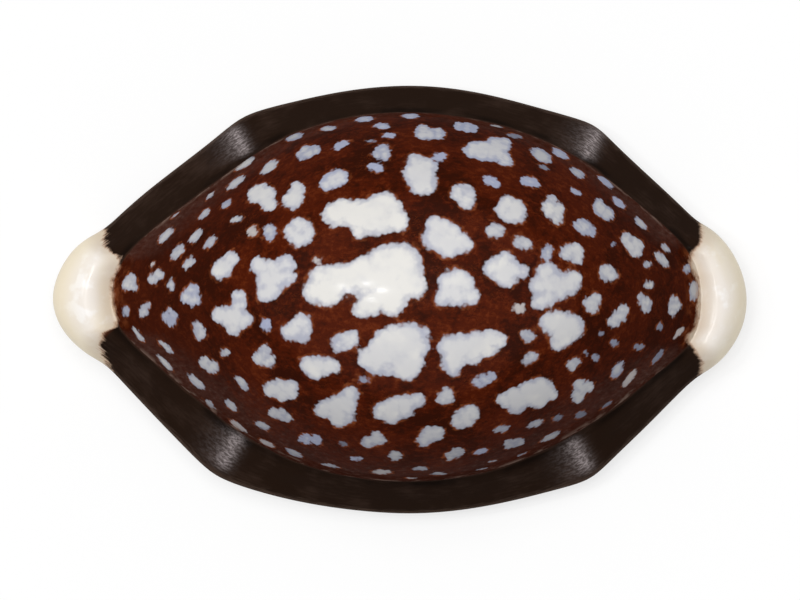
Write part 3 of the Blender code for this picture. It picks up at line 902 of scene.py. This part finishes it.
@dataclass(frozen=True)
class CreamFinish:
    """The cream of the ends: ivory with a yellowish bloom, feathered at its border.

    Attributes:
        border: Depths between which the cream fades in.
        blush_reach: Depths between which the brown blush along the border fades out.
        shade_reach: Depths between which the duller cream near the border fades out.
        outer_folds: Folds of the margin between which the cream turns to its outer tint.
    """

    ivory: Colour = (0.77, 0.715, 0.655)
    yellow: Colour = (0.74, 0.655, 0.505)
    outer: Colour = (0.82, 0.72, 0.54)
    pale: Colour = (0.85, 0.825, 0.80)
    shade: Colour = (0.56, 0.455, 0.340)
    blush: Colour = (0.37, 0.17, 0.075)
    border: Point = (-0.12, 0.14)
    blush_reach: Point = (0.24, 0.0)
    shade_reach: Point = (1.3, 0.1)
    outer_folds: Point = (1.4, 3.2)

    def group(self) -> bpy.types.NodeTree:
        """Builds the node group.

        Returns:
            A group that takes a place, the depth inside the cream and how far its
            border is moved, and gives the cream's colour and mask.
        """
        tree = bpy.data.node_groups.new("cream end", "ShaderNodeTree")
        for way, name, kind in (
            ("INPUT", "Place", "Vector"), ("INPUT", "Depth", "Float"),
            ("INPUT", "Feather", "Float"), ("OUTPUT", "Colour", "Color"),
            ("OUTPUT", "Mask", "Float"),
        ):
            tree.interface.new_socket(name, in_out=way, socket_type=f"NodeSocket{kind}")
        graph = Graph(tree)
        given = graph.add("NodeGroupInput").outputs
        gives = graph.add("NodeGroupOutput").inputs
        place, depth, feather = given["Place"], given["Depth"], given["Feather"]

        tuft = graph.noise(place, 2.8, 4, 0.65)
        edge = graph.total(depth, feather, graph.scaled(tuft, 0.48))
        graph.feed(gives["Mask"], graph.rise(edge, *self.border))

        bloom = graph.noise(place, 0.42, 2, stretch=(1, 0.7, 1))
        cloud = graph.noise(place, 1.1, 3)
        graph.feed(gives["Colour"], graph.layers(
            self.ivory,
            (graph.rise(bloom, -0.06, 0.2, 0.8), self.yellow),
            (graph.rise(cloud, 0.0, 0.16, 0.8), self.pale),
            (graph.rise(graph.number(Field.FOLD), *self.outer_folds, 0.95), self.outer),
            (graph.rise(depth, *self.shade_reach, 0.72), self.shade),
            (graph.rise(edge, *self.blush_reach, 0.6), self.blush),
        ))
        return tree

    @staticmethod
    def lay(graph: Graph, cream_end: bpy.types.NodeTree, place: Socket, colour: Socket,
            feather: Socket | float = 0.0) -> tuple[Socket, Socket]:
        """Lays the cream over a material's colour.

        Args:
            graph: The material's graph.
            cream_end: The node group of the cream ends.
            place: Where each point is.
            colour: The colour under the cream.
            feather: How far the cream's border is moved.

        Returns:
            The colour with the cream on it, and the cream's mask.
        """
        ends = graph.add("ShaderNodeGroup", node_tree=cream_end)
        graph.feed(ends.inputs["Place"], place)
        graph.feed(ends.inputs["Depth"], graph.number(Field.CREAM))
        graph.feed(ends.inputs["Feather"], feather)
        mask = ends.outputs["Mask"]
        return graph.mix(mask, colour, ends.outputs["Colour"]), mask


@dataclass(frozen=True)
class Enamel:
    """Values of the glossy skin that are the same all over a material."""

    polish: float
    roughness: float = 0.35
    specular: float = 0.0
    ior: float = 1.5
    bump_strength: float = 0.35
    bump_depth: float = 0.05 * MM

    def shader(self, graph: Graph, colour: Socket, rough: Socket, coat: Socket,
               height: Socket) -> None:
        """Adds the surface shader and the output.

        Args:
            graph: The material's graph.
            colour: The base colour.
            rough: What to add to the roughness.
            coat: How much of the polished top coat is left.
            height: The bump's height.
        """
        surface = graph.add("ShaderNodeBsdfPrincipled")
        output = graph.add("ShaderNodeOutputMaterial")
        bump = graph.add("ShaderNodeBump")
        bump.inputs["Strength"].default_value = self.bump_strength
        bump.inputs["Distance"].default_value = self.bump_depth
        graph.feed(bump.inputs["Height"], height)
        for name, value in {
            "Base Color": colour,
            "Roughness": graph.scaled(rough, 1.0, self.roughness),
            "Specular IOR Level": self.specular,
            "IOR": self.ior,
            "Coat Weight": coat,
            "Coat Roughness": self.polish,
            "Normal": bump.outputs["Normal"],
        }.items():
            graph.feed(surface.inputs[name], value)
        graph.feed(output.inputs["Surface"], surface.outputs["BSDF"])


@dataclass(frozen=True)
class BackFinish:
    """The hump: red-brown enamel with pale spots, blue-grey at their rims.

    Attributes:
        spot_border: Depths between which a spot fades in.
        halo_reach: Depths outside a spot between which its brown halo fades in.
        glow_reach: Depths outside the cream between which its brown glow fades in.
        rim_reach: Distances from the seam, in mm, over which the dull rim fades in.
        seam_glint_reach: Distances from the seam, in mm, over which its painted highlight fades
            in.
        polished_slope: Levels of the skin between which the polish fades in.
        crown_coat: How much more of the top coat is left on the crown than lower down.
        least_coat: How much of the top coat is left all over.
    """

    enamel: Enamel = Enamel(polish=0.15)
    brown: Colour = (0.064, 0.0085, 0.0020)
    dark: Colour = (0.028, 0.0046, 0.0014)
    warm: Colour = (0.125, 0.0215, 0.0050)
    halo: Colour = (0.200, 0.0520, 0.0170)
    white: Colour = (0.605, 0.60, 0.605)
    cream: Colour = (0.70, 0.685, 0.655)
    pearl: Colour = (0.42, 0.425, 0.48)
    tan: Colour = (0.40, 0.345, 0.325)
    blue: Colour = (0.35, 0.375, 0.500)
    veil: Colour = (0.130, 0.133, 0.170)
    rim: Colour = (0.061, 0.0235, 0.0165)
    # Painted shade: the rim colour on the inner side.
    shaded_rim: Colour = (0.042, 0.0150, 0.0105)
    # Pale brown of the painted highlight along the seam and of the rim's scratches.
    scratch_and_glint: Colour = (0.185, 0.125, 0.100)
    spot_border: Point = (-0.03, 0.12)
    halo_reach: Point = (-0.16, -0.02)
    glow_reach: Point = (-0.75, -0.10)
    rim_reach: Point = (3.8, 0.4)
    seam_glint_reach: Point = (0.95, 0.35)
    polished_slope: Point = (0.70, 0.84)
    crown_coat: float = 0.22
    least_coat: float = 0.02

    def material(self, cream_end: bpy.types.NodeTree) -> bpy.types.Material:
        """Builds the material.

        Args:
            cream_end: The node group of the cream ends.

        Returns:
            The finished material.
        """
        material, graph = blank_material("cowrie back")
        place = graph.add("ShaderNodeTexCoord").outputs["Object"]
        level, near_rim = graph.number(Field.LEVEL), graph.number(Field.RIM)
        depth = self.spot_depth(graph, place)

        fray = graph.scaled(graph.noise(place, 3.0, 3, 0.65), 2.6)
        ragged = graph.rise(graph.total(near_rim, fray), *self.rim_reach, 0.7)
        # Painted highlight: a broken pale line along the seam, where the flank is steep.
        seam_glint = graph.rise(graph.total(near_rim, graph.scaled(level, 1.2)), *self.seam_glint_reach)
        seam_glint = graph.patches(graph.noise(place, 0.9, 3, 0.6), -0.04, 0.12, 0.8, seam_glint)
        colour = graph.layers(
            self.ground(graph, place),
            (self.dimmed(graph, level), self.dark),
            (ragged, self.dull_rim(graph, place)),
            (self.glow(graph, place, depth), self.halo),
            (graph.rise(depth, *self.spot_border), self.spot(graph, place, depth, level)),
            (seam_glint, self.scratch_and_glint),
        )
        colour, _ = CreamFinish.lay(graph, cream_end, place, colour)

        pits = graph.noise(place, 7.0, 3)
        fine = graph.scaled(pits, 0.10)
        height = graph.total(graph.scaled(graph.noise(place, 0.55, 2), 1.2), fine)
        coat = graph.rise(level, *self.polished_slope, self.crown_coat)
        coat = graph.total(coat, self.least_coat)
        self.enamel.shader(graph, colour, fine, coat, height)
        return material

    def spot_depth(self, graph: Graph, place: Socket) -> Socket:
        """The depth inside the spots, frayed by lobes, scallops, teeth and a fine frill."""
        lobes = graph.scaled(graph.noise(place, 1.2, 1), 0.24, -0.02)
        scallops = graph.scaled(graph.bumps(place, 2.4), 0.15)
        teeth = graph.scaled(graph.bumps(place, 4.4), 0.14)
        frill = graph.scaled(graph.noise(place, 5.0, 0), 0.07)
        small = graph.rise(graph.number(Field.SIZE), 1.2, 0.3, 0.35)
        extra = graph.times(graph.total(teeth, frill), small)
        return graph.total(graph.number(Field.SPOT), lobes, scallops, teeth, frill, extra)

    def dimmed(self, graph: Graph, level: Socket) -> Socket:
        """How far the ground darkens: to the ends, and painted shade on slopes and inner side."""
        return graph.total(graph.scaled(level, -0.4, 0.4),
                           graph.scaled(graph.number(Field.END), 0.45),
                           graph.scaled(graph.number(Field.SHADE), 0.12))

    def dull_rim(self, graph: Graph, place: Socket) -> Socket:
        """The ground's dull, scratched brown near the seam; painted shade on the inner side."""
        grain = graph.noise(place, 5.0, 4, 0.7, stretch=(0.5, 1, 0.35))
        return graph.layers(
            self.rim,
            # Painted shade: a darker copy of the rim colour on the inner side.
            (graph.number(Field.SHADE), self.shaded_rim),
            (graph.rise(grain, 0.02, -0.16, 0.6), self.dark),
            (graph.rise(grain, 0.02, 0.20, 0.22), self.scratch_and_glint),
        )

    def ground(self, graph: Graph, place: Socket) -> Socket:
        """The red-brown ground, clouded and finely streaked."""
        cloud = graph.noise(place, 0.40, 3, 0.55)
        mottle = graph.noise(place, 2.2, 5, 0.66, 0.5)
        streak = graph.noise(place, 6.0, 3, 0.65, stretch=(0.5, 1, 0.8))
        thread = graph.noise(place, 3.2, 4, 0.6, 1.2, stretch=(0.6, 1, 0.8))
        deep = graph.total(graph.scaled(mottle, 0.9), graph.scaled(cloud, 1.2),
                           graph.scaled(streak, 0.45))
        lit = graph.total(mottle, graph.scaled(cloud, 0.6), graph.scaled(streak, 0.6))
        vein = graph.rise(graph.math("ABSOLUTE", thread), 0.030, 0.0)
        vein = graph.patches(graph.noise(place, 0.9, 2), 0.0, 0.16, 0.6, vein)
        return graph.layers(
            self.brown,
            (graph.rise(deep, 0.10, -0.22), self.dark),
            (graph.rise(lit, 0.02, 0.32, 0.9), self.warm),
            (vein, self.warm),
        )

    def glow(self, graph: Graph, place: Socket, depth: Socket) -> Socket:
        """Where the orange-brown halo shows, round the spots and along the cream ends."""
        cream = graph.rise(graph.number(Field.CREAM), *self.glow_reach, 0.75)
        cream = graph.patches(graph.noise(place, 1.4, 4, 0.6), -0.10, 0.16, 1.0, cream)
        spots = graph.rise(depth, *self.halo_reach, 0.8)
        spots = graph.patches(graph.noise(place, 1.2, 3, 0.5, 0.8), -0.08, 0.18, 1.0, spots)
        return graph.math("MAXIMUM", cream, spots)

    def spot(self, graph: Graph, place: Socket, depth: Socket, level: Socket) -> Socket:
        """The spots' colour, cool at the rim and where the enamel is thin, with painted shade."""
        tone = graph.number(Field.TONE)
        veil = graph.noise(place, 0.7, 2)
        warmth = graph.total(tone, graph.scaled(graph.noise(place, 0.8, 2), 1.1))
        skin = graph.total(depth, graph.scaled(veil, 0.25))
        cooled = graph.total(tone, graph.scaled(veil, -0.45))
        mottle = graph.scaled(graph.noise(place, 2.2, 3, 0.6), 0.6)
        thin = graph.total(graph.rise(skin, 0.46, 0.02, 0.80), graph.rise(cooled, 0.3, 1.0, 0.56),
                           graph.rise(veil, 0.02, -0.22, 0.24), mottle)
        cool = graph.mix(graph.rise(tone, 0.0, 0.9), self.pearl, self.blue)
        odd = graph.math("ABSOLUTE", graph.scaled(tone, 1.0, -0.35))
        small = graph.rise(graph.number(Field.SIZE), 0.95, 0.15, 0.28)
        # Dimmer for small and veiled spots; painted shade down the slopes and on the inner side.
        veil_and_shade = graph.total(graph.times(small, graph.rise(odd, 0.7, 0.35)),
                             graph.scaled(level, -0.18, 0.18),
                             graph.scaled(graph.number(Field.SHADE), 0.26),
                             graph.rise(tone, 1.0, 1.5, 0.62))
        return graph.layers(
            self.white,
            (graph.rise(warmth, 0.34, -0.05), self.cream),
            (graph.rise(thin, 0.0, 1.0), cool),
            (graph.rise(tone, -0.05, -0.4, 0.7), self.tan),
            (veil_and_shade, self.veil),
        )


@dataclass(frozen=True)
class SkirtFinish:
    """Everything below the seam: the dark margin, cream ends, pale lips and the inside.

    Attributes:
        fold_pitch: How far the streaks' pattern moves on from one fold to the next.
        polished_folds: Folds between which the underside's polish fades in.
        polished_coat: How much more of the top coat is left there and on the cream.
        least_coat: How much of the top coat is left all over.
    """

    enamel: Enamel = Enamel(polish=0.18)
    dark: Colour = (0.0155, 0.0080, 0.0050)
    umber: Colour = (0.030, 0.0170, 0.0120)
    # Painted shade in the crease beside the seam.
    crease_shade: Colour = (0.0060, 0.0035, 0.0025)
    edge: Colour = (0.075, 0.0480, 0.0360)
    seam: Colour = (0.036, 0.0170, 0.0110)
    ember: Colour = (0.090, 0.0240, 0.0100)
    # Pale colour of the painted highlight on the margin's corners.
    corner_highlight: Colour = (0.330, 0.285, 0.285)
    fawn: Colour = (0.33, 0.225, 0.150)
    lip: Colour = (0.60, 0.52, 0.43)
    tooth: Colour = (0.82, 0.79, 0.72)
    groove: Colour = (0.25, 0.15, 0.095)
    inside: Colour = (0.50, 0.45, 0.50)
    fold_pitch: float = 0.45 * MM
    polished_folds: Point = (6.0, 9.0)
    polished_coat: float = 0.35
    least_coat: float = 0.02

    def material(self, cream_end: bpy.types.NodeTree) -> bpy.types.Material:
        """Builds the material.

        Args:
            cream_end: The node group of the cream ends.

        Returns:
            The finished material.
        """
        material, graph = blank_material("cowrie margin and underside")
        place = graph.add("ShaderNodeTexCoord").outputs["Object"]
        fold = graph.number(Field.FOLD)

        course = graph.add("ShaderNodeCombineXYZ")
        graph.feed(course.inputs["X"], graph.number(Field.ALONG))
        graph.feed(course.inputs["Y"], graph.scaled(fold, self.fold_pitch))
        run = course.outputs[0]
        hair = graph.noise(run, 13.0, 3, 0.55, stretch=(0.12, 1, 1))
        tuft = graph.noise(run, 1.6, 2, stretch=(0.5, 1, 1))
        # Painted highlight: pale streaks on the ridges at the margin's corners, which also roughen
        # them.
        scratch = graph.noise(run, 17.0, 3, 0.7, stretch=(0.22, 1, 1))
        streaks = graph.scaled(graph.rise(scratch, -0.10, 0.14), 0.75, 0.25)
        painted_highlight = graph.times(graph.number(Field.CORNER_HIGHLIGHT), streaks)
        colour = graph.mix(painted_highlight, self.band(graph, place, fold, hair), self.corner_highlight)
        colour = self.underside(graph, place, fold, colour)
        feather = graph.total(graph.scaled(hair, 0.75), graph.scaled(tuft, 0.6))
        feather = graph.times(feather, graph.number(Field.BRUSH))
        colour, cream = CreamFinish.lay(graph, cream_end, place, colour, feather)

        polished = graph.math("MAXIMUM", cream, graph.rise(fold, *self.polished_folds))
        coat = graph.scaled(polished, self.polished_coat, self.least_coat)
        rough = graph.total(graph.scaled(painted_highlight, 0.15), graph.scaled(hair, 0.20))
        height = graph.total(graph.noise(place, 1.0, 2), graph.scaled(hair, 0.35))
        self.enamel.shader(graph, colour, rough, coat, height)
        return material

    def band(self, graph: Graph, place: Socket, fold: Socket, hair: Socket) -> Socket:
        """The almost black margin, browner along the seam and the outer edge."""
        cloud = graph.noise(place, 0.5, 3)
        grain = graph.total(cloud, graph.scaled(hair, 0.5))
        outer = graph.total(fold, graph.scaled(hair, 1.2))
        # Painted shade: a dark line in the crease just outside the seam.
        crease_shade = graph.rise(fold, 0.75, 0.25, 0.75)
        crease_shade = graph.patches(graph.noise(place, 0.35, 2), -0.14, 0.06, 1.0, crease_shade)
        seam = graph.total(fold, graph.scaled(cloud, 0.4))
        return graph.layers(
            self.dark,
            (graph.rise(grain, -0.05, 0.34), self.umber),
            (graph.rise(outer, 2.7, 3.5, 0.8), self.edge),
            (crease_shade, self.crease_shade),
            (graph.rise(seam, 0.16, 0.0, 0.8), self.seam),
            (graph.rise(graph.number(Field.RIM), 3.4, 4.6), self.ember),
        )

    def underside(self, graph: Graph, place: Socket, fold: Socket, colour: Socket) -> Socket:
        """The underside: fawn, then cream lips, white teeth and the lilac inside."""
        moved = graph.total(fold, graph.scaled(graph.noise(place, 0.35, 3), 2.2))
        crest = graph.times(graph.rise(fold, 9.4, 10.8), graph.rise(fold, 16.2, 15.0, 0.9))
        return graph.layers(
            colour,
            (graph.rise(moved, 5.4, 7.6), self.fawn),
            (graph.rise(moved, 7.4, 10.2), self.lip),
            (crest, self.tooth),
            (graph.rise(graph.number(Field.TOOTH), 0.25, 0.8, 0.85), self.groove),
            (graph.rise(fold, 14.6, 16.5), self.inside),
        )


# ----------------------------------------------------------------------------- pieces


@dataclass
class CowrieShell:
    """The shell: one mesh, with the back and the skirt as its two materials.

    Attributes:
        form: The shell's shape.
        back: The finish above the seam.
        skirt: The finish below it.
        cream: The finish of both ends.
        tip_allowance: How much further from the seam the end knobs count as being.
        inner_rim_share: How much nearer the seam the inner side counts as being.
        inner_rim_side: Distances to the inner side between which that sets in.
        shaded_side: Distances to the inner side between which the back's painted shade sets in.
        dark_fore: Distances to the fore end between which the ground darkens.
        dark_hind: Distances to the hind end between which it darkens half as much.
    """

    form: ShellForm
    back: BackFinish = BackFinish()
    skirt: SkirtFinish = SkirtFinish()
    cream: CreamFinish = CreamFinish()
    tip_allowance: float = 4.0
    inner_rim_share: float = 0.55
    inner_rim_side: Point = (1.0, 5.0)
    shaded_side: Point = (2.5, 8.0)
    dark_fore: Point = (6.5, 11.0)
    dark_hind: Point = (7.0, 12.0)

    def build(self) -> bpy.types.Object:
        """Builds and dresses the shell.

        Returns:
            The shell, riding on the root body in place of its solid.
        """
        skin = self.form.skin()
        rings, columns = skin.points.shape[:2]
        points = skin.points.reshape(-1, 3)
        faces, materials = self.quads(rings, columns, skin.seam_ring)
        keep, index = self.weld_ends(rings, columns)
        mesh = bpy.data.meshes.new("cowrie_shell")
        mesh.from_pydata((points[keep] * MM).tolist(), [], index[faces].tolist())
        self.carry(mesh, skin, points, keep)
        cream_end = self.cream.group()
        mesh.materials.append(self.back.material(cream_end))
        mesh.materials.append(self.skirt.material(cream_end))
        mesh.polygons.foreach_set("material_index", materials)
        mesh.validate()
        mesh.shade_smooth()
        shell = put("cowrie_shell", mesh)
        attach(shell, "root")
        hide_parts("shell")
        LOG.info("shell: %d points, %d faces", len(mesh.vertices), len(mesh.polygons))
        return shell

    @staticmethod
    def quads(rings: int, columns: int, seam_ring: int) -> tuple[np.ndarray, np.ndarray]:
        """Faces between neighbouring rings, and 0 above the seam or 1 below it for each."""
        row = np.arange(rings - 1)[:, None] * columns
        here = np.arange(columns)[None, :]
        ahead = (here + 1) % columns
        corners = [row + here, row + columns + here, row + columns + ahead, row + ahead]
        faces = np.stack([np.broadcast_to(c, (rings - 1, columns)) for c in corners], -1)
        below = np.repeat(np.arange(rings - 1) >= seam_ring, columns)
        return faces.reshape(-1, 4), below.astype(np.int32)

    @staticmethod
    def weld_ends(rings: int, columns: int) -> tuple[np.ndarray, np.ndarray]:
        """Joins the two sides of the first and last rings, which are lines.

        Args:
            rings: The number of rings.
            columns: The number of points in each.

        Returns:
            The points that stay, and every point's index among them.
        """
        target = np.arange(rings * columns)
        mirror = (-np.arange(columns)) % columns
        for start in (0, (rings - 1) * columns):
            target[start:start + columns] = start + np.minimum(np.arange(columns), mirror)
        keep = np.unique(target)
        return keep, np.searchsorted(keep, target)

    def carry(self, mesh: bpy.types.Mesh, skin: Skin, points: np.ndarray,
              keep: np.ndarray) -> None:
        """Writes the markings' numbers on the mesh."""
        rings, columns = skin.points.shape[:2]
        marks = Markings(self.form)
        on_back = (skin.seam_ring + 1) * columns
        spot = np.full(len(points), -marks.deepest)
        tone = np.zeros(len(points))
        size = np.zeros(len(points))
        spot[:on_back], tone[:on_back], size[:on_back] = marks.spots(points[:on_back])
        steps = np.linalg.norm(np.diff(skin.points, axis=0), axis=2)
        run = np.concatenate([np.zeros((1, columns)), np.cumsum(steps, axis=0)])
        rim = np.abs(run - run[skin.seam_ring]) + self.tip_allowance * self.form.knob
        rim = rim * (1 - self.inner_rim_share * ramp(-skin.points[..., 1], *self.inner_rim_side))
        x, y = points[:, 0], points[:, 1]
        numbers = {
            Field.SPOT: spot,
            Field.TONE: tone,
            Field.SIZE: size,
            Field.CREAM: marks.cream(points),
            Field.FOLD: np.repeat(skin.fold, columns),
            Field.TOOTH: skin.tooth.ravel(),
            Field.CORNER_HIGHLIGHT: marks.corner_highlights(points),
            Field.RIM: rim.ravel(),
            Field.ALONG: np.tile(self.course(), rings),
            Field.BRUSH: marks.brush(points),
            Field.LEVEL: self.level(skin.points).ravel(),
            # Painted shade: the inner side of the back is darker.
            Field.SHADE: ramp(-y, *self.shaded_side),
            Field.END: ramp(-x, *self.dark_fore) + 0.5 * ramp(x, *self.dark_hind),
        }
        for which, values in numbers.items():
            made = mesh.attributes.new(which.value, "FLOAT", "POINT")
            made.data.foreach_set("value", values[keep].astype(np.float32))

    @staticmethod
    def level(grid: np.ndarray) -> np.ndarray:
        """1 where the skin lies level, and 0 where it stands upright."""
        down = np.gradient(grid, axis=0)
        round_ring = np.roll(grid, -1, axis=1) - np.roll(grid, 1, axis=1)
        normal = np.cross(down, round_ring)
        return np.abs(normal[..., 2]) / (np.linalg.norm(normal, axis=2) + TINY)

    def course(self) -> np.ndarray:
        """How far along the seam each column lies, in metres."""
        steps = np.linalg.norm(np.diff(self.form.seam_xy, axis=0), axis=1)
        return np.concatenate([[0.0], np.cumsum(steps)]) * MM


@dataclass
class Studio:
    """A pale floor, soft lamps and a camera that looks straight down.

    Attributes:
        floor_lift: How much of its shadow the floor loses where it is looked at.
        glare_limit: The width of lamp, in degrees, up to which reflections show it.
        view_width: How much of the floor's width the picture takes in, in metres.
        look_shift: Where the camera stands, in metres from the shell's middle.
    """

    floor_half: float = 4.0
    floor_colour: Colour = (0.86, 0.86, 0.86)
    floor_lift: float = 0.7
    sky: float = 0.32
    glare_limit: float = 10.0
    lens: float = 600.0
    sensor: float = 36.0
    view_width: float = 0.040
    view_height_mm: float = 2.3
    look_shift: Point = (0.000005, -0.000015)
    clip: Point = (0.05, 10.0)

    def build(self) -> None:
        """Builds the whole studio."""
        self.floor()
        self.world()
        self.lamps()
        self.camera()
        LOG.info("studio: floor, lamps and camera")

    def floor(self) -> None:
        """A large level floor that stays pale and keeps the shell's shadow."""
        half = self.floor_half
        mesh = bpy.data.meshes.new("floor")
        corners = [(-half, -half, 0), (half, -half, 0), (half, half, 0), (-half, half, 0)]
        mesh.from_pydata(corners, [], [(0, 1, 2, 3)])
        material, graph = blank_material("pale floor")
        diffuse = graph.add("ShaderNodeBsdfDiffuse")
        graph.feed(diffuse.inputs["Color"], self.floor_colour)
        glow = graph.add("ShaderNodeEmission")
        path = graph.add("ShaderNodeLightPath").outputs
        rays = ("Is Camera Ray", "Is Glossy Ray", "Is Transmission Ray")
        seen = graph.total(*(path[ray] for ray in rays))
        blend = graph.add("ShaderNodeMixShader")
        graph.feed(blend.inputs[0], graph.times(seen, self.floor_lift))
        graph.feed(blend.inputs[1], diffuse.outputs[0])
        graph.feed(blend.inputs[2], glow.outputs[0])
        output = graph.add("ShaderNodeOutputMaterial")
        graph.feed(output.inputs["Surface"], blend.outputs[0])
        mesh.materials.append(material)
        put("floor", mesh)

    def world(self) -> None:
        """A dim, even sky, so that the dark enamel keeps its depth."""
        world = bpy.data.worlds.new("studio")
        world.use_nodes = True
        background = world.node_tree.nodes["Background"].inputs
        background["Color"].default_value = (1, 1, 1, 1)
        background["Strength"].default_value = self.sky
        bpy.context.scene.world = world

    def lamps(self) -> None:
        """A soft overhead key, and the small glints of its bare bulbs."""
        for name, strength, spread, lean, azimuth in (
            ("soft key", 1.95, 40.0, 11.0, 108.0),
            ("glint", 0.24, 1.2, 13.4, 161.0),
            ("second glint", 0.18, 1.0, 21.5, 150.0),
            ("third glint", 0.14, 1.0, 27.5, 172.0),
            ("fourth glint", 0.12, 1.0, 17.0, 189.0),
            ("fifth glint", 0.16, 1.0, 32.0, 166.0),
        ):
            lamp = bpy.data.lights.new(name, "SUN")
            lamp.energy = strength
            lamp.angle = math.radians(spread)
            made = put(name, lamp)
            made.visible_glossy = spread < self.glare_limit
            tilt, turn = math.radians(lean), math.radians(azimuth)
            source = Vector((math.sin(tilt) * math.cos(turn), math.sin(tilt) * math.sin(turn),
                             math.cos(tilt)))
            made.rotation_euler = source.to_track_quat("Z", "Y").to_euler()

    def camera(self) -> None:
        """A long lens high above the middle of the shell."""
        camera = bpy.data.cameras.new("camera")
        camera.lens = self.lens
        camera.sensor_width = self.sensor
        made = put("camera", camera)
        distance = self.lens / self.sensor * self.view_width
        x, y = self.look_shift
        made.location = (x, y, distance + self.view_height_mm * MM)
        camera.clip_start, camera.clip_end = self.clip
        bpy.context.scene.camera = made
        bpy.context.scene.view_settings.view_transform = "Standard"


def main() -> None:
    """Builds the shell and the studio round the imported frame."""
    logging.basicConfig(level=logging.INFO, format="%(message)s")
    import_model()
    CowrieShell(ShellForm()).build()
    Studio().build()


if __name__ == "__main__":
    main()
